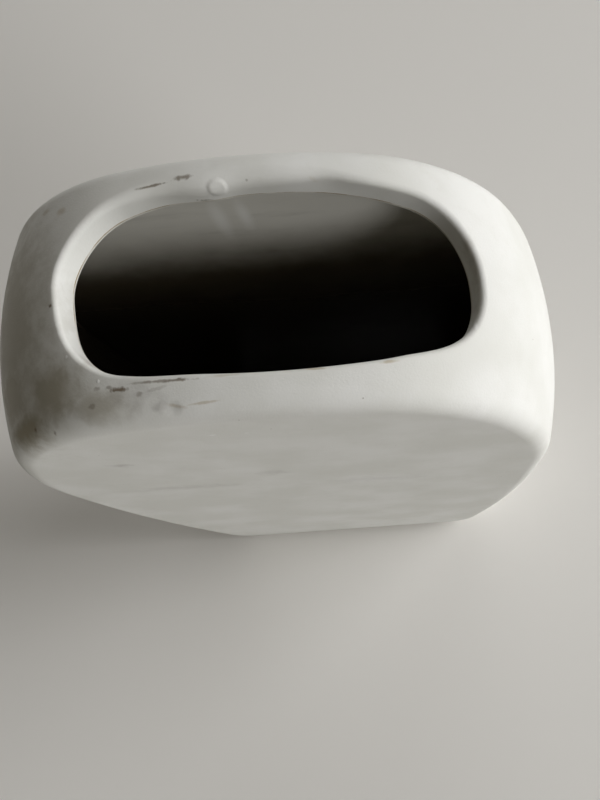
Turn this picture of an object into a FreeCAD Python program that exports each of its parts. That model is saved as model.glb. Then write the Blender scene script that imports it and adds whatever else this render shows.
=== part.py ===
import FreeCAD, Part
import math
import os

from FreeCAD import Vector

# A pillow vase: one slip-cast clay vessel with flat front and back panels and a swelling band round its
# edge, and the glassy glaze that lines its inside and makes the porous clay hold water.
# Millimetres. +X is to the right of the front panel, +Y goes from front to back, +Z is up.
# The origin is on the ground, below the middle of the vessel.

# Driving dimensions of the front view, all taken along the middle of the band. The crown rises above the
# widest place, so the height of the whole follows from the two.
overall_width = 140.0
widest_height = 128.0
crown_rise = 72.0
crown_radius = 125.0
shoulder_radius = 50.0
upper_side_radius = 96.0
lower_side_radius = 500.0
foot_corner_radius = 17.5
crown_height = widest_height + crown_rise

# Driving dimensions of the section through the band
overall_depth = 55.0
band_radius = 98.0
crease_radius = 6.5

# The wall, and the wider crease that the clay leaves inside
wall_thickness = 5.5
inner_crease_radius = 2.5

# The foot, ground flat and hollowed a little below
foot_grind = 1.5
foot_rim_width = 6.0
foot_hollow_depth = 1.0
foot_hollow_corner_radius = 8.0

# The mouth, a rounded oblong whose sides and ends bow, cut a little off the middle, and its lip.
# Its ends keep their distance from the sides of the vessel, and its sides from the two panels.
mouth_to_side = 29.5
mouth_to_panel = 8.0
mouth_side_bow = 5.77
mouth_end_radius = 55.0
mouth_end_reach = 4.0
mouth_offset = 6.0
lip_radius = 2.0
mouth_length = overall_width - 2 * mouth_to_side
mouth_width = overall_depth - 2 * mouth_to_panel
mouth_side_radius = ((mouth_length / 2) ** 2 + mouth_side_bow ** 2) / (2 * mouth_side_bow)
mouth_corner_radius = mouth_width / 2 - mouth_end_reach

# The glaze inside
glaze_thickness = 0.4

# The tool that rounds the lip: its straight runs, and how far past the clay its flats reach
lip_run = 3.5
lip_tool_reach_share = 2.0

# How far a cutting tool runs past the clay that it cuts
overrun = 5.0

# A point this close to a surface lies on it
touching = 0.001

parts_folder = "parts"


def span(centre_x, centre_z, radius, start, end):
    """One arc of the front view: its centre, its radius, and its first and last direction in radians."""
    return {"x": centre_x, "z": centre_z, "radius": radius, "start": start, "end": end}


def mirrored(arc):
    """The same arc on the other side of the middle, with its ends swapped."""
    return span(-arc["x"], arc["z"], arc["radius"], math.pi - arc["end"], math.pi - arc["start"])


def in_halves(arc):
    """The same arc as two, so that no surface built on it turns far."""
    middle = (arc["start"] + arc["end"]) / 2
    first = span(arc["x"], arc["z"], arc["radius"], arc["start"], middle)
    second = span(arc["x"], arc["z"], arc["radius"], middle, arc["end"])
    return [first, second]


def corner_between(first, second, radius):
    """Centre of an arc of this radius that lies inside two circles and touches both, on their far side.

    Each circle is (x, z, radius), the first one at the right and the second one below the arc.
    """
    reach_first = first[2] - radius
    reach_second = second[2] - radius
    run_x = second[0] - first[0]
    run_z = second[1] - first[1]
    apart = math.hypot(run_x, run_z)
    along = (reach_first ** 2 - reach_second ** 2 + apart ** 2) / (2 * apart)
    across = math.sqrt(reach_first ** 2 - along ** 2)
    found = []
    for side in (1, -1):
        x = first[0] + (along * run_x - side * across * run_z) / apart
        z = first[1] + (along * run_z + side * across * run_x) / apart
        found.append((x, z))
    return max(found, key=sum)


def front_view():
    """The vessel's outline in the front view, as arcs from the foot up the right side and down the left."""
    half_width = overall_width / 2
    upper = (half_width - upper_side_radius, widest_height, upper_side_radius)
    crown = (0, crown_height - crown_radius, crown_radius)
    shoulder = corner_between(upper, crown, shoulder_radius)
    to_shoulder = math.atan2(shoulder[1] - upper[1], shoulder[0] - upper[0])
    to_crown = math.atan2(shoulder[1] - crown[1], shoulder[0] - crown[0])

    lower_x = half_width - lower_side_radius
    corner_z = foot_corner_radius - foot_grind
    corner_run = math.sqrt((lower_side_radius - foot_corner_radius) ** 2 - (widest_height - corner_z) ** 2)
    corner_x = lower_x + corner_run
    to_corner = math.atan2(corner_z - widest_height, corner_run)

    right = in_halves(span(corner_x, corner_z, foot_corner_radius, -math.pi / 2, to_corner))
    right.append(span(lower_x, widest_height, lower_side_radius, to_corner, 0))
    right.append(span(upper[0], upper[1], upper_side_radius, 0, to_shoulder))
    right += in_halves(span(shoulder[0], shoulder[1], shoulder_radius, to_shoulder, to_crown))
    left = [mirrored(arc) for arc in reversed(right)]
    top = [span(crown[0], crown[1], crown_radius, to_crown, math.pi - to_crown)]
    return right + top + left


def band_section(inset):
    """Section of the band, moved inwards by inset: points (y, depth) from the front panel to the back one.

    Depth is measured inwards from the crest of the outer band. The outside runs in smooth arcs, each
    through three of the points. Inside, straight runs between the points follow it closely enough.
    """
    crease = crease_radius if inset == 0 else inner_crease_radius + wall_thickness - inset
    half_depth = overall_depth / 2 - inset
    band = band_radius - inset
    turn = math.asin((half_depth - crease) / (band - crease))
    crease_y = half_depth - crease
    crease_depth = band_radius - (band - crease) * math.cos(turn)

    def on_band(share):
        return band * math.sin(turn * share), band_radius - band * math.cos(turn * share)

    def on_crease(angle):
        return crease_y + crease * math.sin(angle), crease_depth - crease * math.cos(angle)

    edge = on_crease(math.pi / 2)
    if inset == 0:
        middle = [on_band(0)]
        half = [on_band(1 / 2), on_band(1), on_crease((turn + math.pi / 2) / 2), edge]
    else:
        middle = []
        half = [on_band(1 / 3), on_band(1), edge]
    return [(-y, depth) for y, depth in reversed(half)] + middle + half


def placed(section_point, arc, angle):
    """A point of the band's section, set at one direction of an arc of the front view."""
    y, depth = section_point
    reach = arc["radius"] - depth
    return Vector(arc["x"] + reach * math.cos(angle), y, arc["z"] + reach * math.sin(angle))


def section_wire(arc, inset):
    """The band's section at the start of an arc of the front view, smooth outside and in runs inside."""
    points = [placed(point, arc, arc["start"]) for point in band_section(inset)]
    if inset > 0:
        return Part.makePolygon(points)
    edges = [Part.Arc(*points[first:first + 3]).toShape() for first in range(0, len(points) - 1, 2)]
    return Part.Wire(edges)


def panel_face(arcs, section_point):
    """The flat front or back panel inside the creases."""
    edges = []
    for arc in arcs:
        middle = (arc["start"] + arc["end"]) / 2
        ends = [placed(section_point, arc, angle) for angle in (arc["start"], middle, arc["end"])]
        edges.append(Part.Arc(*ends).toShape())
    last = placed(section_point, arcs[-1], arcs[-1]["end"])
    first = placed(section_point, arcs[0], arcs[0]["start"])
    edges.append(Part.makeLine(last, first))
    return Part.Face(Part.Wire(edges))


def pillow(inset):
    """The whole closed pillow form, moved inwards by inset: panels, creases and swelling band."""
    arcs = front_view()
    section = band_section(inset)
    faces = [panel_face(arcs, section[0]), panel_face(arcs, section[-1])]
    for arc in arcs:
        turned = math.degrees(arc["end"] - arc["start"])
        centre = Vector(arc["x"], 0, arc["z"])
        faces += section_wire(arc, inset).revolve(centre, Vector(0, -1, 0), turned).Faces
    base_run = Vector(arcs[-1]["x"] - arcs[0]["x"], 0, 0)
    faces += section_wire(arcs[0], inset).extrude(base_run).Faces
    shell = Part.makeShell(faces)
    shell.sewShape()
    solid = Part.makeSolid(shell)
    if solid.Volume < 0:
        solid.reverse()
    return solid


def mouth_face(z):
    """A level face shaped as the mouth: a rounded oblong whose sides and ends bow outwards."""
    end = (mouth_length / 2 - mouth_end_radius, 0, mouth_end_radius)
    side = (0, mouth_width / 2 - mouth_side_radius, mouth_side_radius)
    corner = corner_between(end, side, mouth_corner_radius)
    to_end = math.atan2(corner[1] - end[1], corner[0] - end[0])
    to_side = math.atan2(corner[1] - side[1], corner[0] - side[0])

    def on_corner(angle, turn_x, turn_y):
        x = corner[0] + mouth_corner_radius * math.cos(angle)
        y = corner[1] + mouth_corner_radius * math.sin(angle)
        return Vector(mouth_offset + turn_x * x, turn_y * y, z)

    edges = []
    for turn in (1, -1):
        tip = Vector(mouth_offset + turn * mouth_length / 2, 0, z)
        edges.append(Part.Arc(on_corner(to_end, turn, -1), tip, on_corner(to_end, turn, 1)).toShape())
        tip = Vector(mouth_offset, turn * mouth_width / 2, z)
        edges.append(Part.Arc(on_corner(to_side, -1, turn), tip, on_corner(to_side, 1, turn)).toShape())
        for turn_x in (1, -1):
            ends = [on_corner(angle, turn_x, turn) for angle in (to_end, (to_end + to_side) / 2, to_side)]
            edges.append(Part.Arc(*ends).toShape())
    return Part.Face(Part.Wire(Part.__sortEdges__(edges)))


def throat():
    """The upright tool that opens the mouth, from the widest height to above the crown."""
    return mouth_face(widest_height).extrude(Vector(0, 0, crown_height + overrun - widest_height))


def height_above(x, y):
    """Height of the closed pillow's top above a place in plan that lies on the band."""
    depth = band_radius - math.sqrt(band_radius ** 2 - y ** 2)
    for arc in front_view():
        reach = arc["radius"] - depth
        ends = [placed((y, depth), arc, angle) for angle in (arc["start"], arc["end"])]
        if ends[0].x >= x >= ends[1].x and max(ends[0].z, ends[1].z) > widest_height:
            return arc["z"] + math.sqrt(reach ** 2 - (x - arc["x"]) ** 2)
    raise ValueError("the mouth reaches past the top")


def lip_section(rim, out):
    """Section of the tool that takes the corner off the clay, at one point of the mouth's outline.

    The cut is three flats that touch a circle of the lip's radius. The circle touches the throat's wall
    and the crown, which falls away outwards. The other points of the section lie clear of the clay.
    """
    ahead = rim + out * touching
    top = height_above(rim.x, rim.y)
    slope = math.atan((top - height_above(ahead.x, ahead.y)) / touching)
    turn = math.pi / 2 + slope
    centre = rim + out * lip_radius
    centre.z = top - lip_radius * (math.tan(slope) + 1 / math.cos(slope))

    def around(share, reach):
        angle = math.pi / 2 - slope + turn * share
        return centre + (out * math.cos(angle) + Vector(0, 0, 1) * math.sin(angle)) * reach

    corner_reach = lip_radius / math.cos(turn / 8)
    first, second = around(3 / 8, corner_reach), around(5 / 8, corner_reach)
    before = first + (around(1 / 8, corner_reach) - first) * lip_tool_reach_share
    after = second + (around(7 / 8, corner_reach) - second) * lip_tool_reach_share
    clear = around(1 / 2, lip_radius / math.cos(turn / 2) * lip_tool_reach_share)
    return Part.makePolygon([before, first, second, after, clear, before])


def lip_tool():
    """A closed ring with straight runs between its sections, which rounds the lip all the way round."""
    sections = []
    for edge in Part.__sortEdges__(mouth_face(0).Edges):
        runs = math.ceil(edge.Length / lip_run)
        step = (edge.LastParameter - edge.FirstParameter) / runs
        for count in range(runs):
            along = edge.FirstParameter + count * step
            if edge.Orientation == "Reversed":
                along = edge.LastParameter - count * step
            rim = edge.valueAt(along)
            tangent = edge.tangentAt(along)
            out = Vector(tangent.y, -tangent.x, 0)
            if out.dot(rim - Vector(mouth_offset, 0, 0)) < 0:
                out = -out
            sections.append(lip_section(rim, out))
    return Part.makeLoft(sections, True, True, True)


def with_lip(solid, tool):
    """Opens the mouth with the tool and takes the outer edge of the clay off round it."""
    return solid.cut(tool).cut(lip_tool())


def ground_foot():
    """What is ground off below, and the shallow hollow that leaves a rim to stand on."""
    first = front_view()[0]
    flat_length = 2 * (first["x"] + math.sqrt(first["radius"] ** 2 - first["z"] ** 2))
    flat_width = 2 * math.sqrt(band_radius ** 2 - (band_radius - foot_grind) ** 2)
    ground = Part.makeBox(overall_width, overall_depth, foot_grind + overrun,
                          Vector(-overall_width / 2, -overall_depth / 2, -foot_grind - overrun))
    length = flat_length - 2 * foot_rim_width
    width = flat_width - 2 * foot_rim_width
    hollow = Part.makeBox(length, width, foot_hollow_depth, Vector(-length / 2, -width / 2, 0))
    upright = [edge for edge in hollow.Edges if edge.BoundBox.ZLength > foot_hollow_depth / 2]
    return ground.fuse(hollow.makeFillet(foot_hollow_corner_radius, upright))


def vessel_body():
    """The fired clay: an even wall in the pillow form, open at the mouth and ground flat at the foot."""
    lipped = with_lip(pillow(0), throat())
    return lipped.cut(pillow(wall_thickness)).cut(ground_foot())


def inner_glaze():
    """The glaze on the whole inside wall, up to the sharp inner edge of the mouth."""
    inside = pillow(wall_thickness)
    lining = inside.cut(pillow(wall_thickness + glaze_thickness))
    return lining.cut(throat())


def main():
    """Builds each piece and writes it to its own file."""
    os.makedirs(parts_folder, exist_ok=True)
    for name, make in (("vessel_body", vessel_body), ("inner_glaze", inner_glaze)):
        shape = make()
        solids = shape.Solids
        print(name, "solids", len(solids), "valid", shape.isValid(), "volume", round(shape.Volume))
        shape.exportStep(os.path.join(parts_folder, name + ".step"))


main()
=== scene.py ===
# %% [markdown]
# # A pillow vase in bisque clay
#
# This lesson dresses the construction model of a small pillow vase: a slip-cast clay vessel with flat
# front and back panels, a swelling band round its edge and a hand-trimmed oblong mouth. The outside is
# bare, matt clay. Only the inside is glazed. The pieces are modelled again here, fine enough for soft
# creases, an uneven lip and the small flaws of a hand-finished pot, at the places that the model gives.

# %% Load the construction model
import math
from collections import namedtuple
import bmesh
import bpy
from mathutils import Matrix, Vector


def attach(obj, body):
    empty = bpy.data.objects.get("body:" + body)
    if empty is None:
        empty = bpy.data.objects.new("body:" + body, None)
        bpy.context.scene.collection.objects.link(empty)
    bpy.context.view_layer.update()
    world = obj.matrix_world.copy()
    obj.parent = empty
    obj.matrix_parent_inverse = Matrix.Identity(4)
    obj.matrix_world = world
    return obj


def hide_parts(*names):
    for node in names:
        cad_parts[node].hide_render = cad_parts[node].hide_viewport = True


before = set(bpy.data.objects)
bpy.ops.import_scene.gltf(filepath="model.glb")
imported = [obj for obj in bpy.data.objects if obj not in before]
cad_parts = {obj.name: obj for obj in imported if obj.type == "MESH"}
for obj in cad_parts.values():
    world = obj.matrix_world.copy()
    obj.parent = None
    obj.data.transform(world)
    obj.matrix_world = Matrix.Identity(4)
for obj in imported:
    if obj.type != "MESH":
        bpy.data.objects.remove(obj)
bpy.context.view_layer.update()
print("nodes:", sorted(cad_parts))

# %% [markdown]
# ## Lengths
#
# Blender counts in metres and a pot is measured in millimetres. One factor between the two keeps every
# number below readable. A small helper turns a place in millimetres into a vector in metres.

# %% Millimetres
MM = 0.001


def place(x, y, z):
    """A point given in millimetres."""
    return Vector((x, y, z)) * MM


print("ten centimetres are", round(place(0, 0, 100).length, 3), "m")

# %% [markdown]
# ## Editing by hand, in code
#
# The mesh tools work on what is selected in the one mesh that is being edited. These helpers do what the
# hand does in the window: leave one mesh, open another, and pick points, edges or faces by where they are.

# %% Open a mesh
def leave_editing():
    if bpy.context.object and bpy.context.object.mode != "OBJECT":
        bpy.ops.object.mode_set(mode="OBJECT")
    bpy.ops.object.select_all(action="DESELECT")


def edit(piece):
    """Opens a piece in edit mode with nothing selected in it."""
    leave_editing()
    piece.select_set(True)
    bpy.context.view_layer.objects.active = piece
    bpy.ops.object.mode_set(mode="EDIT")
    bpy.ops.mesh.select_all(action="DESELECT")


# %% Pick parts of it
def pick(piece, kind, wanted):
    """Selects the VERT, EDGE or FACE parts that pass a test, and nothing else. Returns how many."""
    bpy.ops.mesh.select_mode(type=kind)
    bpy.ops.mesh.select_all(action="DESELECT")
    mesh = bmesh.from_edit_mesh(piece.data)
    parts = {"VERT": mesh.verts, "EDGE": mesh.edges, "FACE": mesh.faces}[kind]
    picked = [part for part in parts if wanted(part)]
    for part in picked:
        part.select_set(True)
    bmesh.update_edit_mesh(piece.data)
    return len(picked)


def middle(edge):
    return (edge.verts[0].co + edge.verts[1].co) / 2


# %% [markdown]
# ## A line drawn by a turning point
#
# Every curve of this pot is a circular arc that runs smoothly into the next one, as a potter's template
# would be cut. The Spin tool draws exactly that. A single point, turned about a centre, leaves an arc of
# edges behind it, and a whole line turned the same way leaves a curved surface. So the pot needs no
# sculpting at all: one point makes the section, and the section makes the band.

# %% A point, and a turn
def new_point(name, start):
    """A new piece, open for editing, that is one point: a small plane merged into its middle."""
    leave_editing()
    bpy.ops.mesh.primitive_plane_add(size=MM)
    piece = bpy.context.object
    piece.name = name
    bpy.ops.object.mode_set(mode="EDIT")
    bpy.ops.mesh.select_mode(type="VERT")
    bpy.ops.mesh.select_all(action="SELECT")
    bpy.ops.mesh.merge(type="CENTER")
    bpy.ops.transform.translate(value=start)
    return piece


def turn(centre, axis, angle, steps):
    """Turns what is selected about a centre, drawing as it goes. The last copy stays selected."""
    bpy.ops.mesh.spin(steps=steps, angle=-angle, center=centre, axis=axis)  # the tool counts clockwise


# %% [markdown]
# ## The template: section and front view
#
# Seen from the front, the vase is narrow at the foot, widest at two thirds of its height, and closed by a
# low crown. Seen in section, the band between the two panels swells a little and meets each panel in a
# soft crease. The sizes are those of the construction model, but the crease is drawn a little tighter.
# Since every arc keeps its centre when the surface moves inwards, the same template also draws the inside
# wall and both faces of the glaze.

# %% Sizes of the section, in millimetres
HALF_DEPTH = 27.5
BAND_RADIUS = 98.0
CREASE_RADIUS = 5.0
WALL = 5.5
GLAZE = 0.4
INSIDE_CREASE = 1.5  # radius of the crease on the inside of the wall
CORNER_X, CORNER_Z, CORNER_RADIUS = 39.32105, 16.0, 17.5  # the rounded corner at the foot
print("depth of the vase:", 2 * HALF_DEPTH, "mm, wall:", WALL, "mm, glaze:", GLAZE, "mm")

# %% Arcs of the front view, in millimetres and radians
SHOULDER_X, SHOULDER_Z, SHOULDER_RADIUS = 15.20838, 148.44185, 50.0
SHOULDER_TURN, SHOULDER_STEPS = 0.906111, 27
SHOULDER_END = 1.366602  # where the shoulder meets the crown, as a direction from the shoulder's centre
CROWN_Z, CROWN_RADIUS, CROWN_STEPS = 75.0, 125.0, 30
BASE_STEPS = 44  # across the straight base

# From the foot up the right side: centre x, centre z, how far the arc turns, and the number of steps
RIGHT_SIDE = [
    (CORNER_X, CORNER_Z, 1.336535, 16),
    (-430.0, 128.0, 0.234261, 70),
    (-26.0, 128.0, 0.460491, 26),
    (SHOULDER_X, SHOULDER_Z, SHOULDER_TURN, SHOULDER_STEPS),
]
LEFT_SIDE = [(-x, z, angle, steps) for x, z, angle, steps in reversed(RIGHT_SIDE)]
FRONT_VIEW = RIGHT_SIDE + [(0.0, CROWN_Z, math.pi - 2 * SHOULDER_END, CROWN_STEPS)] + LEFT_SIDE
print("steps round the pot:", sum(arc[3] for arc in FRONT_VIEW) + BASE_STEPS)

# %% The same section, moved inwards
Section = namedtuple("Section", "band half_turn crease_y crease_z")


def section_at(inset):
    """Band radius, half turn of the band, and the crease centre's y and height."""
    band = BAND_RADIUS - inset
    crease = CREASE_RADIUS if inset == 0 else INSIDE_CREASE - (inset - WALL)
    crease_y = HALF_DEPTH - inset - crease
    half_turn = math.asin(crease_y / (band - crease))
    depth = BAND_RADIUS - (band - crease) * math.cos(half_turn)
    return Section(band, half_turn, crease_y, CORNER_Z - CORNER_RADIUS + depth)


for inset in (0, WALL, WALL + GLAZE):
    section = section_at(inset)
    print("inset", inset, "crease starts at y", round(section.band * math.sin(section.half_turn), 2))

# %% [markdown]
# ## A closed pillow
#
# The section starts above the foot's corner, at the edge of the front panel. It turns round the front
# crease, the band and the back crease. The finished line is then turned about the centre of each arc of
# the front view in order. A block with bevelled edges would look alike, but its band wouldn't swell and
# its creases would be even all round. Bridge Edge Loops closes the straight base, and a face fills each
# panel. Two insets, the first a very narrow one, give each panel rows of its own along the crease, so that
# the shading is flat from where the clay is flat.

# %% Make a pillow
CREASE_STEPS, BAND_STEPS = 9, 30
PANEL_ROWS = (0.25, 2.5)  # widths of the rows along the crease
CLOSE = 0.01 * MM  # two places nearer than this are taken as one


def make_pillow(name, inset):
    section = section_at(inset)
    quarter = math.pi / 2 - section.half_turn
    across = (1, 0, 0)
    band_centre = place(CORNER_X, 0, CORNER_Z - CORNER_RADIUS + BAND_RADIUS)
    piece = new_point(name, place(CORNER_X, inset - HALF_DEPTH, section.crease_z))
    turn(place(CORNER_X, -section.crease_y, section.crease_z), across, quarter, CREASE_STEPS)
    turn(band_centre, across, 2 * section.half_turn, BAND_STEPS)
    turn(place(CORNER_X, section.crease_y, section.crease_z), across, quarter, CREASE_STEPS)

    bpy.ops.mesh.select_all(action="SELECT")
    for x, z, angle, steps in FRONT_VIEW:
        turn(place(x, 0, z), (0, -1, 0), angle, steps)
    close_base(piece)
    for side in (-1, 1):
        fill_panel(piece, side)
    return piece


def close_base(piece):
    """Joins the two open ends of the turned band by the straight base."""
    def is_open_end(edge):
        first, second = (vert.co.x for vert in edge.verts)
        return (edge.is_boundary and middle(edge).z < CORNER_Z * MM
                and abs(abs(middle(edge).x) - CORNER_X * MM) < CLOSE and abs(first - second) < CLOSE)

    pick(piece, "EDGE", is_open_end)
    bpy.ops.mesh.bridge_edge_loops(number_cuts=BASE_STEPS - 1, interpolation="LINEAR")


def fill_panel(piece, side):
    """Fills the open front (-1) or back (1), with narrow rows along the crease."""
    pick(piece, "EDGE", lambda edge: edge.is_boundary and middle(edge).y * side > 0)
    bpy.ops.mesh.edge_face_add()
    for row in PANEL_ROWS:
        bpy.ops.mesh.inset(thickness=row * MM)


outside = make_pillow("vase_wall", 0)
leave_editing()
print("outside:", len(outside.data.vertices), "points,", len(outside.data.polygons), "faces")
print("size in mm:", [round(side / MM, 2) for side in outside.dimensions])

# %% [markdown]
# ## The height of the crown
#
# The mouth is cut through a surface that curves both ways, so every point of the lip needs its own height.
# The template gives it: how deep the band's section lies below its crest at this y, and how high the
# crown's or the shoulder's arc, drawn in by that depth, stands at this x.

# %% Height of the crown at a place
def crown_height(x, y, inset=0.0):
    """Height in millimetres of the pillow's top, moved inwards by inset, above a place in its plan."""
    depth = BAND_RADIUS - math.sqrt((BAND_RADIUS - inset) ** 2 - y * y)
    x = abs(x)
    if x <= (CROWN_RADIUS - depth) * math.cos(SHOULDER_END):
        return CROWN_Z + math.sqrt((CROWN_RADIUS - depth) ** 2 - x * x)
    return SHOULDER_Z + math.sqrt((SHOULDER_RADIUS - depth) ** 2 - (x - SHOULDER_X) ** 2)


for x in (-34.5, 0, 46.5):
    print("height of the crown at x", x, "is", round(crown_height(x, 0), 1), "mm")

# %% [markdown]
# ## A window for the mouth
#
# The mouth doesn't fit into rows and columns, so a rectangular window is opened round it first. Its long
# sides are the rows where the creases start, and its short sides are two of the section's copies on the
# shoulders, found by the direction in which they lie from the shoulder's centre.

# %% Open the window
STEP = SHOULDER_TURN / SHOULDER_STEPS
STEPS_RIGHT, STEPS_LEFT = 19, 9  # how far the window reaches down each shoulder
WINDOW_RIGHT = SHOULDER_END - STEPS_RIGHT * STEP
WINDOW_LEFT = SHOULDER_END - STEPS_LEFT * STEP


def open_window(piece, inset):
    section = section_at(inset)
    side = section.band * math.sin(section.half_turn) * MM

    def over_mouth(face):
        x, y, z = face.calc_center_median()
        right = math.atan2(z - SHOULDER_Z * MM, x - SHOULDER_X * MM)
        left = math.atan2(z - SHOULDER_Z * MM, -x - SHOULDER_X * MM)
        return abs(y) < side and right > WINDOW_RIGHT and left > WINDOW_LEFT

    count = pick(piece, "FACE", over_mouth)
    bpy.ops.mesh.delete(type="FACE")
    return count


edit(outside)
print("faces taken out:", open_window(outside, 0))

# %% [markdown]
# ## The hand-trimmed mouth
#
# On the real vase the mouth was cut with a knife while the clay was leather-hard and then wiped with a
# sponge. It is a rounded oblong, a little off the middle, and nowhere quite even. Its nominal outline is
# drawn by a turning point like everything else, from the right end round by the back.

# %% Draw the outline of the mouth
MOUTH_X = 6.0  # the mouth's middle
MOUTH_END = 40.5  # from its middle to its ends
END_CENTRE, END_TURN, END_STEPS = 14.5, 0.039760, 2  # half of the arc at each end
TIGHT_X, TIGHT_Y, TIGHT_TURN, TIGHT_STEPS = 24.96878, 1.57010, 1.337012, 18  # the tight arc at each corner
SIDE_CENTRE, SIDE_TURN, SIDE_STEPS = 125.5, 0.194024, 24  # half of the arc along each long side

# Centre x and y from the mouth's middle, how far the arc turns, and the number of steps
MOUTH_ARCS = [
    (-END_CENTRE, 0, END_TURN, END_STEPS),
    (TIGHT_X, TIGHT_Y, TIGHT_TURN, TIGHT_STEPS),
    (0, -SIDE_CENTRE, 2 * SIDE_TURN, 2 * SIDE_STEPS),
    (-TIGHT_X, TIGHT_Y, TIGHT_TURN, TIGHT_STEPS),
    (END_CENTRE, 0, 2 * END_TURN, 2 * END_STEPS),
    (-TIGHT_X, -TIGHT_Y, TIGHT_TURN, TIGHT_STEPS),
    (0, SIDE_CENTRE, 2 * SIDE_TURN, 2 * SIDE_STEPS),
    (TIGHT_X, -TIGHT_Y, TIGHT_TURN, TIGHT_STEPS),
    (-END_CENTRE, 0, END_TURN, END_STEPS),
]
mouth = new_point("mouth", place(MOUTH_X + MOUTH_END, 0, 0))
for x, y, angle, steps in MOUTH_ARCS:
    turn(place(MOUTH_X + x, y, 0), (0, 0, 1), angle, steps)
bpy.ops.mesh.select_all(action="SELECT")
bpy.ops.mesh.remove_doubles(threshold=0.05 * MM)  # the last point lies on the first
leave_editing()
print("points round the mouth:", len(mouth.data.vertices))

# %% [markdown]
# The unevenness is a short list of bulges. Each one has its direction from the mouth's middle, how many
# degrees it spreads, and how many millimetres it pushes the clay out, or in where the number is negative.

# %% Directions and bulges
BULGES = [
    (10, 7, -0.5), (60, 14, 0.2), (119, 7, -0.4), (142, 9, 0.9), (176, 6, 0.6), (184, 5, -0.3),
    (197, 7, 0.5), (213, 9, 0.15), (331, 5, -0.6), (345, 5, 0.2),
]


def direction(x, y):
    """Direction from the middle of the mouth in degrees, 0 at the right end and 90 at the back."""
    return math.degrees(math.atan2(y, x - MOUTH_X)) % 360


def turned_from(centre, degrees):
    """How far a direction is turned from another one, the short way round."""
    return (degrees - centre + 180) % 360 - 180


def bulge_at(degrees, bulges):
    """Sum of the bulges at one direction round the mouth."""
    return sum(push * math.exp(-0.5 * (turned_from(centre, degrees) / spread) ** 2)
               for centre, spread, push in bulges)


print("the outline is pushed out by", round(bulge_at(142, BULGES), 2), "mm at the back left")

# %% The uneven outline
outline = sorted(((v.co.x / MM, v.co.y / MM) for v in mouth.data.vertices), key=lambda p: direction(*p))
mouth_points = []
for index, (x, y) in enumerate(outline):
    before, after = outline[index - 1], outline[(index + 1) % len(outline)]
    out = Vector((after[1] - before[1], before[0] - after[0])).normalized()
    push = bulge_at(direction(x, y), BULGES)
    mouth_points.append((Vector((x, y)) + push * out, out))
for axis, name in ((0, "long"), (1, "wide")):
    reach = [point[axis] for point, out in mouth_points]
    print("the mouth is", round(max(reach) - min(reach), 1), "mm", name)

# %% [markdown]
# ## The lip and the throat
#
# The knife stood upright along the two long sides. Where it turned at the ends it leaned, so there the cut
# flares outwards towards the top. A wet sponge then took the sharpness off the outer edge. In the
# cross-section at any point of the outline, that soft edge is a small circle which touches the sloping
# crown and the cut. Bevel could round the edge too, but evenly, and here the sponge took off more at the
# back than at the front. So ring after ring is extruded from the one before and set on this circle, and
# then down the cut to its sharp lower edge.

# %% The section of the cut
FLARES = [(0, 17, 1.9), (57, 8, 0.7), (146, 10, 0.5), (176, 17, 1.1), (198, 7, -0.4), (213, 10, 0.7)]
LEAST_FLARE = 0.15
AHEAD = 0.1  # how far away the crown's slope is read
Cut = namedtuple("Cut", "corner along_crown down_cut low")


def cut_at(index):
    """The section of the cut at a point of the outline, in millimetres out and up from its lower edge.

    Gives the corner that the cut would have without a soft edge, the directions in which the crown and
    the cut leave this corner, and the height of the lower edge.
    """
    point, out = mouth_points[index]
    flare = LEAST_FLARE + bulge_at(direction(*point), FLARES)
    corner = point + flare * out
    top = crown_height(*corner)
    along_crown = Vector((AHEAD, crown_height(*(corner + AHEAD * out)) - top)).normalized()
    low = crown_height(point.x, point.y, WALL)
    down_cut = Vector((-flare, low - top)).normalized()
    return Cut(Vector((flare, top)), along_crown, down_cut, low)


for degrees in (0, 90, 180, 270):
    index = min(range(len(outline)), key=lambda k: abs(turned_from(degrees, direction(*outline[k]))))
    cut = cut_at(index)
    print(degrees, "degrees: the cut flares by", round(cut.corner.x, 2), "mm and is",
          round(cut.corner.y - cut.low, 2), "mm high")

# %% Where a ring of the lip lies
LIP_RADIUS = 0.9
SOFTER = [(82, 24, 1.4), (122, 22, 1.8), (0, 20, 0.3)]  # where the sponge took off more
FLANGE = 0.8  # width of the ring of crown outside the soft edge


def in_plan(index, away, height):
    """Turns a point of a section into a place on the pot."""
    point, out = mouth_points[index]
    x, y = point + away * out
    return place(x, y, height)


def soft_edge(index):
    """Radius of the soft edge, and half the angle between the crown and the cut."""
    cut = cut_at(index)
    radius = LIP_RADIUS + bulge_at(direction(*mouth_points[index][0]), SOFTER)
    return radius, math.acos(cut.along_crown.dot(cut.down_cut)) / 2


def on_flange(index):
    """A point on the crown a little outside the soft edge."""
    point, out = mouth_points[index]
    radius, half = soft_edge(index)
    x, y = point + (cut_at(index).corner.x + radius / math.tan(half) + FLANGE) * out
    return place(x, y, crown_height(x, y))


def on_lip(index, share):
    """A point of the soft edge, from 0 on the crown to 1 on the cut."""
    cut = cut_at(index)
    radius, half = soft_edge(index)
    centre = cut.corner + (cut.along_crown + cut.down_cut).normalized() * (radius / math.sin(half))
    first = math.pi / 2 + math.atan2(cut.along_crown.y, cut.along_crown.x)
    angle = first + share * (math.pi - 2 * half)
    spot = centre + radius * Vector((math.cos(angle), math.sin(angle)))
    return in_plan(index, *spot)


def on_cut(index, share):
    """A point of the cut, from 0 below the soft edge to 1 at its lower edge."""
    low = in_plan(index, 0, cut_at(index).low)
    return on_lip(index, 1).lerp(low, share)


radii = [soft_edge(index)[0] for index in range(len(mouth_points))]
print("radius of the soft edge:", round(min(radii), 2), "to", round(max(radii), 2), "mm")

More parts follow.
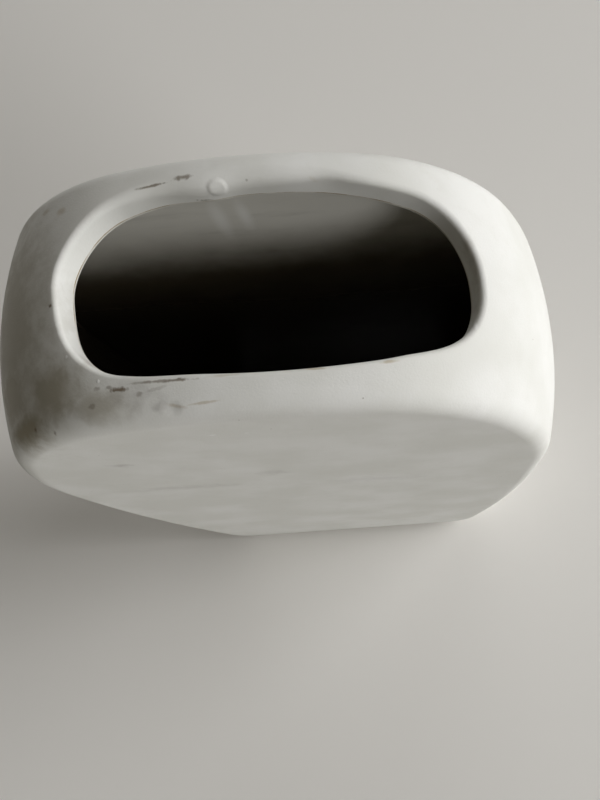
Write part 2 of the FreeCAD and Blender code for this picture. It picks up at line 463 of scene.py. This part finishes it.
# %% [markdown]
# Each point of the outline keeps its number in an integer attribute. Extruding copies it, so every new
# ring knows where it belongs, whatever order its points come in. A second attribute counts the rings.

# %% Number the points and extrude the rings
def number_points(piece, places):
    """Numbers the points of a flat outline round the mouth, in edit mode."""
    mesh = bmesh.from_edit_mesh(piece.data)
    number = mesh.verts.layers.int.new("number")
    mesh.verts.layers.int.new("ring")
    for vert in mesh.verts:
        here = (vert.co.x / MM, vert.co.y / MM)
        vert[number] = 1 + min(range(len(places)), key=lambda k: math.dist(places[k], here))
    bmesh.update_edit_mesh(piece.data)


def set_ring(piece, ring, where):
    """Moves the selected ring to its place and numbers it."""
    mesh = bmesh.from_edit_mesh(piece.data)
    number = mesh.verts.layers.int["number"]
    rings = mesh.verts.layers.int["ring"]
    for vert in mesh.verts:
        if vert.select:
            vert.co = where(vert[number] - 1)
            vert[rings] = ring
    bmesh.update_edit_mesh(piece.data)


def make_collar(piece, places):
    """Extrudes the outline through a list of rings, each a function from a point's number to its place."""
    edit(piece)
    number_points(piece, outline)
    bpy.ops.mesh.select_all(action="SELECT")
    for ring, where in enumerate(places):
        if ring:
            bpy.ops.mesh.extrude_edges_move()
        set_ring(piece, ring, where)
    leave_editing()


# %% Make the lip and the throat
LIP_STEPS = 8
THROAT_SHARES = (0.2, 0.4, 0.6, 0.8, 0.95, 1.0)

glaze_mouth = mouth.copy()
glaze_mouth.data = mouth.data.copy()
glaze_mouth.name = "glaze_mouth"
bpy.context.scene.collection.objects.link(glaze_mouth)

throat = [on_flange]
throat += [lambda k, share=step / LIP_STEPS: on_lip(k, share) for step in range(LIP_STEPS + 1)]
throat += [lambda k, share=share: on_cut(k, share) for share in THROAT_SHARES]
make_collar(mouth, throat)
print("rings:", len(throat), "points:", len(mouth.data.vertices))

# %% [markdown]
# ## Joining the mouth to the pillow
#
# A Boolean would cut the mouth in one go, but it leaves long, thin triangles that shade badly on such a
# smooth surface. The window and the mouth have the same number of points, so Bridge Edge Loops runs clean
# columns of faces between them. Its cuts are straight lines at first. Each new point is then lifted to the
# height of the crown, and the patch becomes part of the same curved surface.

# %% Bridge a window and a mouth
CUTS_OUTSIDE, CUTS_INSIDE = 5, 3


def join_pieces(keep, other):
    leave_editing()
    other.select_set(True)
    keep.select_set(True)
    bpy.context.view_layer.objects.active = keep
    bpy.ops.object.join()
    edit(keep)


def pick_openings(piece, ring):
    """Selects the open edges of the window and of one ring of the mouth. Returns how many."""
    mesh = bmesh.from_edit_mesh(piece.data)
    number = mesh.verts.layers.int["number"]
    rings = mesh.verts.layers.int["ring"]

    def is_wanted(edge):
        if not edge.is_boundary:
            return False
        first, second = ((vert[number] > 0, vert[rings]) for vert in edge.verts)
        return first == second and (not first[0] or first[1] == ring)

    return pick(piece, "EDGE", is_wanted)


def bridge_window(piece, ring, inset, cuts):
    """Bridges the open window of a pillow and one ring of the mouth, and lifts the faces between them."""
    picked = pick_openings(piece, ring)
    before = len(bmesh.from_edit_mesh(piece.data).verts)
    bpy.ops.mesh.bridge_edge_loops(number_cuts=cuts, interpolation="LINEAR")
    mesh = bmesh.from_edit_mesh(piece.data)
    mesh.verts.ensure_lookup_table()
    number = mesh.verts.layers.int["number"]
    for vert in mesh.verts[before:]:
        vert.co.z = crown_height(vert.co.x / MM, vert.co.y / MM, inset) * MM
        vert[number] = 1
    bmesh.update_edit_mesh(piece.data)
    return picked


join_pieces(outside, mouth)
print("edges bridged outside:", bridge_window(outside, 0, 0, CUTS_OUTSIDE))

# %% [markdown]
# ## The foot
#
# The casting was rubbed flat on a wet board, so the rounded base ends in a plane. Bisect cuts it level and
# fills the cut. An inset leaves the rim that the vase stands on, and the middle is pushed up by a
# millimetre, so that the pot doesn't rock on a speck of grit.

# %% Cut the foot
FOOT_RIM = 6.0
FOOT_SLOPE = 0.8  # width of the slope between the rim and the hollow
FOOT_HOLLOW = 1.0
LEVEL = 0.001 * MM  # a point nearer to the floor than this is on it

bpy.ops.mesh.select_all(action="SELECT")
bpy.ops.mesh.bisect(plane_co=(0, 0, 0), plane_no=(0, 0, 1), use_fill=True, clear_inner=True,
                    threshold=LEVEL)
pick(outside, "FACE", lambda face: all(abs(vert.co.z) < LEVEL for vert in face.verts))
for width in (FOOT_RIM, FOOT_SLOPE):
    bpy.ops.mesh.inset(thickness=width * MM, use_even_offset=False)
bpy.ops.transform.translate(value=(0, 0, FOOT_HOLLOW * MM))
leave_editing()
print("lowest point in mm:", round(min(v.co.z for v in outside.data.vertices) / MM, 3))

# %% [markdown]
# ## The inside of the wall
#
# A cast wall is as thick everywhere as the mould drank slip, so the inside follows the outside. Solidify
# would also thicken the lip and the foot. Instead a second pillow, drawn in by the thickness of the wall,
# gets the same window. It is joined to the outside at the lower edge of the throat, and the vase becomes
# one closed body of clay. All faces are then turned outwards, and the shading is smooth but for the true
# edges.

# %% Close the wall
inside = make_pillow("inside", WALL)
open_window(inside, WALL)
last_ring = len(throat) - 1
join_pieces(outside, inside)
print("edges bridged inside:", bridge_window(outside, last_ring, WALL, CUTS_INSIDE))


# %% Turn the faces outwards
def finish_mesh(piece, sharp):
    """Turns all faces outwards and shades them smooth up to an angle in degrees. Prints what is open."""
    edit(piece)
    bpy.ops.mesh.select_all(action="SELECT")
    bpy.ops.mesh.normals_make_consistent(inside=False)
    mesh = bmesh.from_edit_mesh(piece.data)
    still_open = sum(1 for edge in mesh.edges if not edge.is_manifold)
    volume = mesh.calc_volume(signed=True) / MM ** 3
    leave_editing()
    piece.select_set(True)
    bpy.context.view_layer.objects.active = piece
    bpy.ops.object.shade_smooth_by_angle(angle=math.radians(sharp))
    print(piece.name, "open edges:", still_open, "volume in cm3:", round(volume / 1000, 1))


finish_mesh(outside, sharp=40)

# %% [markdown]
# ## The glaze inside
#
# Bare bisque clay drinks water, so a flower vase is glazed inside: the slip of glaze is poured in, swirled
# and poured out, and leaves a thin glassy skin that ends at the lower edge of the throat. It is a thin
# closed shell of its own, made from two more pillows and a two-ring collar, 0.4 mm apart. A hair's breadth
# keeps it off the clay, because two faces in one place would flicker.

# %% Make the lining
GAP = 0.02
GLAZE_FACES = (WALL + GAP, WALL + GLAZE)


def under_crown(index, inset):
    """A point of the outline, on the crown moved inwards."""
    point = mouth_points[index][0]
    return place(*point, crown_height(*point, inset))


make_collar(glaze_mouth, [lambda k, inset=inset: under_crown(k, inset) for inset in GLAZE_FACES])
lining = glaze_mouth
lining.name = "glaze_lining"
for ring, inset in enumerate(GLAZE_FACES):
    shell = make_pillow("glaze_face", inset)
    open_window(shell, inset)
    join_pieces(lining, shell)
    print("edges bridged in the glaze:", bridge_window(lining, ring, inset, CUTS_INSIDE))
finish_mesh(lining, sharp=60)

# %% [markdown]
# ## Placing the pieces
#
# The vase has no moving part, so both pieces ride on its one body. Each stands for the node of the
# construction model that it was drawn from, and that node is hidden.

# %% Tell the frame what the pieces are
for piece, node, slot in ((outside, "vessel_body", "bisque_clay"), (lining, "inner_glaze", "clear_glaze")):
    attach(piece, "root")
    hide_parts(node)
    print(piece.name, "stands for", node)

# %% [markdown]
# ## Colour and nodes
#
# Colours are written as they look on a screen, in hex, and one function turns them to the linear values
# that the renderer needs. One more function adds a node with its settings and links. Some nodes carry
# several sockets of one name and switch off all but the one that their settings need, so the function
# always takes the one that is switched on.

# %% Colour
def linear(hex_colour):
    """A screen colour such as E8E6DE as linear red, green, blue and alpha."""
    values = [int(hex_colour[k:k + 2], 16) / 255 for k in (0, 2, 4)]
    return [v / 12.92 if v <= 0.04045 else ((v + 0.055) / 1.055) ** 2.4 for v in values] + [1.0]


print("half grey in linear values:", round(linear("808080")[0], 3))


# %% Add a node
def add(tree, kind, inputs=(), **settings):
    """Adds a node. An input that is given a node or a socket is linked to it, and others are set."""
    node = tree.nodes.new(kind)
    for name, value in settings.items():
        setattr(node, name, value)
    for name, value in dict(inputs).items():
        socket = node.inputs[name] if isinstance(name, int) else next(
            entry for entry in node.inputs if entry.name == name and entry.enabled)
        if isinstance(value, bpy.types.Node):
            value = next(entry for entry in value.outputs if entry.enabled)
        if isinstance(value, bpy.types.NodeSocket):
            tree.links.new(value, socket)
        else:
            socket.default_value = value
    return node


def new_material(name):
    """An empty node material, and its tree."""
    material = bpy.data.materials.new(name)
    material.use_nodes = True
    material.node_tree.nodes.clear()
    return material, material.node_tree


# %% [markdown]
# ## Patterns in real millimetres
#
# Every pattern below is measured on the pot itself, from the object's own coordinates, so it stays where
# it is when the pot is turned and has the size that it has on the real thing. Noise gives the patches and
# the grain. A mark is a soft blob: the place is moved to the mark's middle and divided by its reach, and
# what is then less than one away belongs to the mark.

# %% Places and patches
def in_millimetres(tree):
    """The place on the pot in millimetres."""
    spot = add(tree, "ShaderNodeTexCoord").outputs["Object"]
    return add(tree, "ShaderNodeVectorMath", {0: spot, "Scale": 1 / MM}, operation="SCALE")


def patches(tree, spot, size, detail, rough, start, end, low=0.0, high=1.0):
    """Patches about as large as size in millimetres. Noise from start to end fades from low to high."""
    cloud = add(tree, "ShaderNodeTexNoise", {"Vector": spot, "Scale": 1.0 / size, "Detail": detail,
                                             "Roughness": rough})
    return add(tree, "ShaderNodeMapRange", {"Value": cloud, "From Min": start, "From Max": end,
                                            "To Min": low, "To Max": high},
               interpolation_type="SMOOTHSTEP")


# %% Marks
def mark(tree, spot, centre, reach, tilt=0.0, core=0.3, wobble=None):
    """A blob that is full inside its core and gone at its reach. A wobble makes its edge ragged."""
    local = add(tree, "ShaderNodeMapping", {"Vector": spot, "Location": centre, "Scale": reach,
                                            "Rotation": (0, 0, math.radians(tilt))}, vector_type="TEXTURE")
    away = add(tree, "ShaderNodeVectorMath", {0: local}, operation="LENGTH")
    if wobble is not None:
        away = add(tree, "ShaderNodeMath", {0: away, 1: wobble}, operation="ADD")
    return add(tree, "ShaderNodeMapRange", {"Value": away, "From Min": 1.0, "From Max": core},
               interpolation_type="SMOOTHSTEP")


def strongest_mark(tree, spot, marks, core=0.3, wobble=None):
    """The strongest of several marks. Each one has its centre, its reach, its tilt and its strength."""
    total = None
    for centre, reach, tilt, strength in marks:
        own = mark(tree, spot, centre, reach, tilt, core, wobble)
        own = add(tree, "ShaderNodeMath", {0: own, 1: strength}, operation="MULTIPLY")
        total = own if total is None else add(tree, "ShaderNodeMath", {0: total, 1: own}, operation="MAXIMUM")
    return total


# %% Layers of colour and relief
def painted(tree, ground, layers):
    """Lays colours over a ground colour, each one through its own mask."""
    for mask, colour in layers:
        ground = add(tree, "ShaderNodeMix", {"Factor": mask, "A": ground, "B": linear(colour)},
                     data_type="RGBA")
    return ground


def relief(tree, layers):
    """Raises the shading by each layer's height, which counts for so many millimetres."""
    normal = None
    for height, depth in layers:
        under = {} if normal is None else {"Normal": normal}
        normal = add(tree, "ShaderNodeBump", {"Height": height, "Strength": 1.0, "Distance": depth * MM,
                                              **under})
    return normal


# %% [markdown]
# ## Bisque clay
#
# White casting slip fires to a chalky, slightly cool white. It is porous and quite matt, because every
# grain scatters the light. Three things keep it from looking like plastic. Broad, faint patches come from
# uneven drying and from hands. A fine grain breaks up the shading. And a pot that has stood in use carries
# dirt, which is set where it is on the real pot. Broad brownish patches also paint shade at the left front
# corner and the right end of the throat. All of it is drawn by nodes and not by a picture, because
# nodes keep their size in millimetres and stay sharp from near.

# %% The ground colour of the clay
# Cast, sponged and fired clay: the eye sees soft light with no mirror in it, and a faint cloudiness
clay, tree = new_material("bisque_clay_fired_matt")
spot = in_millimetres(tree)
colour = painted(tree, linear("E4E4DF"), [
    (patches(tree, spot, size=22, detail=4, rough=0.5, start=0.35, end=0.7), "EEEEEB"),
    (patches(tree, spot, size=5, detail=5, rough=0.65, start=0.5, end=0.8, high=0.22), "D9D8D0"),
])
print("nodes in the clay so far:", len(tree.nodes))

# %% [markdown]
# ## Dirt, a painted shadow, stains and smears
#
# Where something hard rubbed along the lip it left thin brown lines, and dust settled in a few pits as
# specks. One thin dark line at the lower edge of the throat, below the blister, is a painted shadow.
# Yellowish stains run beside them. Cloths and fingers left faint grey smears on the front panel.
# Every mark is one line of numbers: its middle, how far it reaches along the three axes, its tilt in
# degrees and its strength. Noise is added to the distance from the middle, so that no edge is a clean
# ellipse.

# %% Thin lines and specks of dirt, and one painted shadow, in millimetres
DIRT_AND_SHADOW = [
    ((-15.9, 20.6, 196.7), (4.6, 0.32, 3), 6, 0.75), ((-9.0, 21.5, 197.3), (2.3, 0.75, 3), 3, 0.7),
    ((-22.6, -20.5, 195.8), (2.4, 0.65, 3), -3, 0.85), ((-24.6, -19.9, 195.5), (0.8, 0.5, 3), 0, 0.5),
    ((-13.6, -19.95, 197.0), (7.6, 0.4, 3), -2, 0.6), ((-11.0, -20.05, 197.4), (3.6, 0.45, 3), -1, 0.75),
    ((-15.3, -21.3, 196.7), (3.6, 0.4, 3), 9, 0.2), ((-18.4, -21.8, 196.2), (0.9, 0.6, 3), 0, 0.4),
    ((-28.5, -22.9, 193.8), (1.1, 0.7, 4), 0, 0.4), ((-27.0, -19.7, 195.0), (0.9, 0.5, 3), 0, 0.4),
    ((-37.2, -1.5, 193.3), (0.6, 0.5, 2), 0, 1.0), ((-43.7, -24.3, 185.4), (0.7, 0.7, 2), 0, 0.8),
    ((-38.5, -25.9, 187.3), (0.5, 0.5, 2), 0, 0.6), ((3.3, 20.2, 197.8), (0.45, 0.4, 2), 0, 0.8),
    ((3.2, 18.9, 198.1), (0.4, 0.4, 2), 0, 0.6), ((3.0, 17.6, 198.2), (0.5, 0.5, 2), 0, 0.8),
    # The last mark here, a thin dark line at the lower edge of the throat below the blister, is a painted
    # shadow
    ((32.3, 16.4, 194.0), (0.45, 0.4, 2), 0, 0.9), ((-6.4, 19.3, 192.9), (2.6, 0.7, 0.45), 0, 0.8),
]
ragged = patches(tree, spot, size=1.3, detail=3, rough=0.6, start=0.3, end=0.7, low=-0.25, high=0.25)
dirt_and_shadow = strongest_mark(tree, spot, DIRT_AND_SHADOW, core=0.3, wobble=ragged)
print("lines and specks of dirt:", len(DIRT_AND_SHADOW))

# %% Yellowish stains and grey smears
STAINS = [
    ((-36.4, 19.8, 191.5), (2.0, 1.3, 4), 0, 0.35), ((-41.2, 21.5, 188.4), (1.6, 1.0, 4), 0, 0.25),
    ((-11.0, -24.8, 195.8), (2.6, 0.5, 3), -12, 0.45), ((-6.2, -24.6, 196.3), (5.0, 0.3, 3), 3, 0.4),
    ((22.0, 18.6, 196.0), (7.0, 0.5, 3), -14, 0.55), ((15.0, -19.7, 197.0), (3.0, 0.4, 3), 0, 0.5),
    ((29.0, -18.7, 195.0), (2.2, 0.4, 3), 8, 0.5), ((-1.0, -20.0, 198.0), (4.0, 0.4, 3), 0, 0.3),
]
SMEARS = [
    ((-36.6, -27.5, 160.9), (4, 3, 2.5), 0, 0.45), ((-34.0, -27.5, 128.0), (22, 3, 4), 0, 0.22),
    ((-5.0, -27.5, 140.0), (6, 3, 4), 0, 0.25), ((20.0, -27.5, 120.0), (18, 3, 6), 0, 0.15),
    ((-14.4, -24.6, 195.6), (2.6, 1.6, 4), 0, 0.5), ((-20.0, -22.0, 195.0), (9, 4, 6), 0, 0.35),
]
blurred = patches(tree, spot, size=4, detail=4, rough=0.6, start=0.3, end=0.7, low=-0.3, high=0.3)
stains = strongest_mark(tree, spot, STAINS, core=0.1, wobble=blurred)
smears = strongest_mark(tree, spot, SMEARS, core=0.0, wobble=blurred)
print("stains:", len(STAINS), "smears:", len(SMEARS))

# %% [markdown]
# ## Painted shade, grime and chips
#
# The left front corner lies in soft shade and was handled most. Broad, soft brownish patches that run into
# each other paint that shade together with its real soil, and one more paints the shade at the right end of
# the throat. A few tiny chips show the clean white body under the skin.

# %% Painted shade, soiled places and chips
# Painted shade: these broad patches darken the shaded left front corner, over its real soil, and the shaded
# right end of the throat
SHADE_AND_GRIME = [
    ((-46.0, -23.5, 182.0), (15, 4.6, 12), 0, 0.85), ((-50.0, -15.0, 181.0), (14, 12, 13), 0, 0.6),
    ((-37.0, -18.0, 190.5), (14, 9, 8), 0, 0.7), ((-27.0, -23.0, 193.5), (11, 4.2, 6), 0, 0.5),
    ((-50.0, -2.0, 183.0), (21, 34, 22), 0, 0.5), ((46.0, 0.0, 185.5), (2.4, 12, 5), 0, 0.6),
]
CHIPS = [
    ((-8.5, -27.5, 183.2), (1.0, 1, 0.45), 0, 1.0), ((-1.6, -27.5, 182.8), (0.6, 1, 0.35), 0, 0.8),
    ((-33.5, -12.6, 194.1), (0.45, 0.45, 2), 0, 1.0), ((-26.7, -18.4, 195.2), (0.45, 0.45, 2), 0, 1.0),
    ((46.4, -9.5, 187.3), (0.7, 1.6, 3), 0, 0.8),
]
SOFTENING = 0.45  # broad patches need less wobble at their edges
softened = add(tree, "ShaderNodeMath", {0: blurred, 1: SOFTENING}, operation="MULTIPLY")
shade_and_grime = strongest_mark(tree, spot, SHADE_AND_GRIME, core=0.2, wobble=softened)
chips = strongest_mark(tree, spot, CHIPS)
print("soiled places:", len(SHADE_AND_GRIME), "chips:", len(CHIPS))

# %% [markdown]
# ## Specks in the body
#
# Casting slip is never quite clean. Small dark specks lie in it, far apart. A Voronoi pattern puts one
# point into each cell of about four millimetres, a speck is what is close to the point, and the cell's own
# random colour lets only one cell in five have one.

# %% Specks
CELL = 4.0  # in millimetres
SPECK_REACH, SPECK_CORE = 0.055, 0.02  # radius of a speck, in cells
cells = add(tree, "ShaderNodeTexVoronoi", {"Vector": spot, "Scale": 1 / CELL})
close_to_point = add(tree, "ShaderNodeMapRange", {"Value": cells.outputs["Distance"],
                                                  "From Min": SPECK_REACH, "From Max": SPECK_CORE},
                     interpolation_type="SMOOTHSTEP")
random_value = add(tree, "ShaderNodeSeparateColor", {"Color": cells.outputs["Color"]})
chosen = add(tree, "ShaderNodeMapRange", {"Value": random_value, "From Min": 0.80, "From Max": 0.84,
                                          "To Min": 0.0, "To Max": 0.55}, interpolation_type="SMOOTHSTEP")
specks = add(tree, "ShaderNodeMath", {0: close_to_point, 1: chosen}, operation="MULTIPLY")
print("a speck is up to", round(2 * SPECK_REACH * CELL, 2), "mm wide")

# %% Paint the clay
# The brown-olive 857A5C is painted shade at the left front corner and the right end of the throat, mixed with
# real soil at the corner
colour = painted(tree, colour, [
    (shade_and_grime, "857A5C"), (smears, "A9A5A0"), (stains, "A58F62"), (dirt_and_shadow, "5A4729"), (chips, "FAFAF8"),
    (specks, "6E6453"),
])
print("nodes in the clay so far:", len(tree.nodes))

# %% [markdown]
# ## Relief of the clay
#
# The sponge left long, shallow waves, and the fired body has a grain. The real grain is about a tenth of a
# millimetre and wouldn't show in the render, so it is drawn at half a millimetre. On the back of the lip
# stands a small round blister, where a bubble rose under the skin, and at the front lies a dimple, as from
# a fingertip.

# %% Waves, grain, blister and dimple
BLISTER, BLISTER_HEIGHT = ((-2.8, 19.6, 195.6), (2.3, 2.1, 2.3)), 0.17
DIMPLE, DIMPLE_DEPTH = ((-12.4, -24.9, 195.6), (2.6, 1.8, 3)), 0.22
WAVE_SIZE, WAVE_HEIGHT = 9, 0.06
GRAIN_SIZE, GRAIN_HEIGHT = 0.45, 0.045
CHIP_HEIGHT = 0.05  # a chip's raised rim catches the light
wiped = add(tree, "ShaderNodeVectorMath", {0: spot, 1: (1.4, 1, 1)}, operation="DIVIDE")
waves = add(tree, "ShaderNodeTexNoise", {"Vector": wiped, "Scale": 1.0 / WAVE_SIZE, "Detail": 3,
                                         "Roughness": 0.5})
grain = add(tree, "ShaderNodeTexNoise", {"Vector": spot, "Scale": 1.0 / GRAIN_SIZE, "Detail": 3,
                                         "Roughness": 0.6})
normal = relief(tree, [
    (waves, WAVE_HEIGHT),
    (grain, GRAIN_HEIGHT),
    (mark(tree, spot, *BLISTER, core=0.55), BLISTER_HEIGHT),
    (mark(tree, spot, *DIMPLE, core=0.0), -DIMPLE_DEPTH),
    (chips, CHIP_HEIGHT),
])
print("height of the blister:", BLISTER_HEIGHT, "mm, depth of the dimple:", DIMPLE_DEPTH, "mm")

# %% The finished clay
# Fired clay has the IOR of silicates, 1.5, but its pores leave it hardly any gloss
surface = add(tree, "ShaderNodeBsdfPrincipled", {"Base Color": colour, "Roughness": 0.74, "IOR": 1.5,
                                                 "Specular IOR Level": 0.35, "Normal": normal})
add(tree, "ShaderNodeOutputMaterial", {"Surface": surface})
outside.data.materials.clear()
outside.data.materials.append(clay)
print("nodes in the clay:", len(tree.nodes))

# %% [markdown]
# ## The wiped edge
#
# The glaze ends at the sharp lower edge of the throat. The narrow last ring of the throat has a finish of
# its own: a little glossier than the clay, pale, and yellow-brown in noisy patches, which draws a darker
# hairline round the opening.

# %% The darker hairline
# Half matt, pale, and yellow-brown in patches
hairline_finish, tree = new_material("throat_edge_hairline")
patchy = patches(tree, in_millimetres(tree), size=6, detail=3, rough=0.5, start=0.38, end=0.62)
colour = painted(tree, linear("DAD6CC"), [(patchy, "9C8660")])
surface = add(tree, "ShaderNodeBsdfPrincipled", {"Base Color": colour, "Roughness": 0.5, "IOR": 1.5})
add(tree, "ShaderNodeOutputMaterial", {"Surface": surface})
outside.data.materials.append(hairline_finish)
print("finishes on the vase:", [material.name for material in outside.data.materials])

# %% Give the last ring of the throat the hairline finish
edit(outside)
mesh = bmesh.from_edit_mesh(outside.data)
rings = mesh.verts.layers.int["ring"]
between = {last_ring - 1, last_ring}
darkened = [face for face in mesh.faces if {vert[rings] for vert in face.verts} == between]
for face in darkened:
    face.material_index = 1
bmesh.update_edit_mesh(outside.data)
leave_editing()
print("faces stained:", len(darkened))

# %% [markdown]
# ## Clear glaze over clay
#
# The lining is the same clay seen through a thin coat of glass. Near the rim it shows the pale body,
# with two pale streaks down the back wall. Lower down, years of standing water have left tide marks, and
# the colour is painted darker and browner towards the bottom as shade of the deep inside. The glass itself
# keeps its sharp, wet gloss.

# %% Painted shade inside
# Poured and fired glaze: a wet shine over pale clay, painted darker and browner lower down as shade
# Painted shade: the colour darkens in two brown steps towards the bottom of the inside
PAINTED_SHADE_STEPS = ((182.0, 156.0, "6B6354"), (172.0, 125.0, "332C24"))  # height where it starts, where it is full
WAVER, WAVER_SIZE = 10.0, 14  # how far down a cloudy noise takes these heights, and the noise's size

glaze, tree = new_material("clear_glaze_over_clay")
spot = in_millimetres(tree)
height = add(tree, "ShaderNodeSeparateXYZ", {"Vector": spot}).outputs["Z"]
cloud = add(tree, "ShaderNodeTexNoise", {"Vector": spot, "Scale": 1.0 / WAVER_SIZE, "Detail": 3,
                                         "Roughness": 0.5})
waver = add(tree, "ShaderNodeMath", {0: cloud, 1: WAVER}, operation="MULTIPLY")
wavy_height = add(tree, "ShaderNodeMath", {0: height, 1: waver}, operation="ADD")
darkening = [
    (add(tree, "ShaderNodeMapRange", {"Value": wavy_height, "From Min": start, "From Max": full},
         interpolation_type="SMOOTHSTEP"), brown)
    for start, full, brown in PAINTED_SHADE_STEPS
]
below = crown_height(0, 0, WALL) - PAINTED_SHADE_STEPS[0][0]
print("the film starts", round(below, 1), "to", round(below + WAVER, 1), "mm below the throat")

# %% Tide marks and pale streaks
# Two pale streaks run down the back wall, below the blister
STREAKS = [((-6.6, 22.0, 180.0), (2.6, 3, 11), 4, 1.0), ((-1.1, 22.0, 181.0), (2.2, 3, 9), 4, 1.0)]
drawn_out = add(tree, "ShaderNodeVectorMath", {0: spot, 1: (6, 6, 1)}, operation="DIVIDE")
tides = patches(tree, drawn_out, size=5, detail=4, rough=0.6, start=0.5, end=0.75, high=0.15)
streaks = strongest_mark(tree, spot, STREAKS, core=0.1)
# The brown steps are painted shade towards the bottom of the inside; tide marks and pale streaks lie over
# them
colour = painted(tree, linear("DEDCD4"), darkening + [(tides, "4A4236"), (streaks, "EEEDE8")])
print("runs of glaze:", len(STREAKS))

# %% The finished glaze
# Glass has an IOR of 1.5. Its surface rolls a little, so what it mirrors is soft
ROLL_SIZE, ROLL_HEIGHT = 9, 0.12
rolling = add(tree, "ShaderNodeTexNoise", {"Vector": spot, "Scale": 1.0 / ROLL_SIZE, "Detail": 1,
                                           "Roughness": 0.5})
normal = relief(tree, [(rolling, ROLL_HEIGHT)])
surface = add(tree, "ShaderNodeBsdfPrincipled", {"Base Color": colour, "Roughness": 0.24, "IOR": 1.5,
                                                 "Normal": normal})
add(tree, "ShaderNodeOutputMaterial", {"Surface": surface})
lining.data.materials.clear()
lining.data.materials.append(glaze)
print("nodes in the glaze:", len(tree.nodes))

# %% [markdown]
# ## The floor
#
# The vase stands on a plain pale floor, large enough to fill the view from any side. It is a stage and no
# part of the vase. Matt paint on it takes the shadow and throws a little soft light back up.

# %% Floor
FLOOR_SIZE = 6
leave_editing()
bpy.ops.mesh.primitive_plane_add(size=FLOOR_SIZE)
floor = bpy.context.object
floor.name = "floor"
floor_paint, tree = new_material("pale_floor")
surface = add(tree, "ShaderNodeBsdfPrincipled", {"Base Color": linear("F1EFEB"), "Roughness": 0.9,
                                                 "IOR": 1.4})
add(tree, "ShaderNodeOutputMaterial", {"Surface": surface})
floor.data.materials.append(floor_paint)
print("floor:", FLOOR_SIZE, "m square")

# %% [markdown]
# ## Light
#
# Daylight comes softly from the right, as from a window, so that the right shoulder is bright and the left
# front corner lies in soft shade. Four large round lamps stand three metres away: two for the window, low
# and high, one that fills the front panel, and one from behind that keeps the back rim readable. Far and
# large lamps give soft edges to every shadow.

# %% Lamps
AIM = Vector((0, 0, 0.12))  # the middle of the vase, in metres

# Name, place and width in metres, and power in watts
LAMPS = [
    ("window_low", (2.78, 0.0, 1.24), 1.25, 31.5),
    ("window_high", (2.23, 0.56, 2.05), 1.75, 27.5),
    ("front_fill", (2.19, -1.71, 1.24), 1.25, 27.5),
    ("back_fill", (0.51, 2.89, 0.74), 2.0, 17),
]
for name, where, width, power in LAMPS:
    lamp = bpy.data.lights.new(name, "AREA")
    lamp.shape = "DISK"
    lamp.size = width
    lamp.energy = power
    holder = bpy.data.objects.new(name, lamp)
    holder.location = where
    holder.rotation_euler = (AIM - Vector(where)).to_track_quat("-Z", "Y").to_euler()
    bpy.context.scene.collection.objects.link(holder)
    print(name, "shines from", round((AIM - Vector(where)).length, 2), "m away")

# %% [markdown]
# ## The room
#
# The world is a dim, warm room that only lifts the shadows. Behind the floor the picture should be white,
# and that white must not light the pot. So the world looks at what kind of ray asks: the camera, a mirror
# image and a view through glass get the white backdrop, and all other rays get the dim room.

# %% World
ROOM_STRENGTH = 0.055
WHITE_STRENGTH = 1.0  # at this strength the backdrop is exactly white
world = bpy.data.worlds.new("soft_room")
bpy.context.scene.world = world
world.use_nodes = True
tree = world.node_tree
tree.nodes.clear()
rays = add(tree, "ShaderNodeLightPath")
seen = add(tree, "ShaderNodeMath", {0: rays.outputs["Is Camera Ray"], 1: rays.outputs["Is Glossy Ray"]},
           operation="MAXIMUM")
seen = add(tree, "ShaderNodeMath", {0: seen, 1: rays.outputs["Is Transmission Ray"]}, operation="MAXIMUM")
room = add(tree, "ShaderNodeBackground", {"Color": linear("EEDDB4"), "Strength": ROOM_STRENGTH})
backdrop = add(tree, "ShaderNodeBackground", {"Color": linear("FFFFFF"), "Strength": WHITE_STRENGTH})
mix = add(tree, "ShaderNodeMixShader", {"Fac": seen, 1: room, 2: backdrop})
add(tree, "ShaderNodeOutputWorld", {"Surface": mix})
print("nodes in the world:", len(tree.nodes))

# %% [markdown]
# ## The camera
#
# The picture was taken by hand from steeply above, close to the pot, which makes the mouth large and the
# foot small. Place, turn and lens were found by laying the vase's own curves over the picture. The shift
# moves the frame off the line of sight, because the middle of the picture isn't where the camera pointed.

# %% Camera
CAMERA_PLACE = (35.8243, -66.8807, 336.7582)  # in millimetres
CAMERA_TURN = (10.23874, 2.09723, -3.89659)  # in degrees
FILM_WIDTH, LENS = 36, 35.244  # in millimetres
SHIFT_X, SHIFT_Y = -0.14375, 0.09375
NEAREST, FARTHEST = 0.01, 50  # what the camera sees, in metres

camera = bpy.data.objects.new("camera", bpy.data.cameras.new("camera"))
camera.location = place(*CAMERA_PLACE)
camera.rotation_euler = [math.radians(angle) for angle in CAMERA_TURN]
camera.data.sensor_width = FILM_WIDTH
camera.data.lens = LENS
camera.data.shift_x = SHIFT_X
camera.data.shift_y = SHIFT_Y
camera.data.clip_start = NEAREST
camera.data.clip_end = FARTHEST
bpy.context.scene.collection.objects.link(camera)
bpy.context.scene.camera = camera
bpy.context.scene.view_settings.view_transform = "Standard"
print("the camera is", round(camera.location.z / MM - crown_height(0, 0)), "mm above the crown")
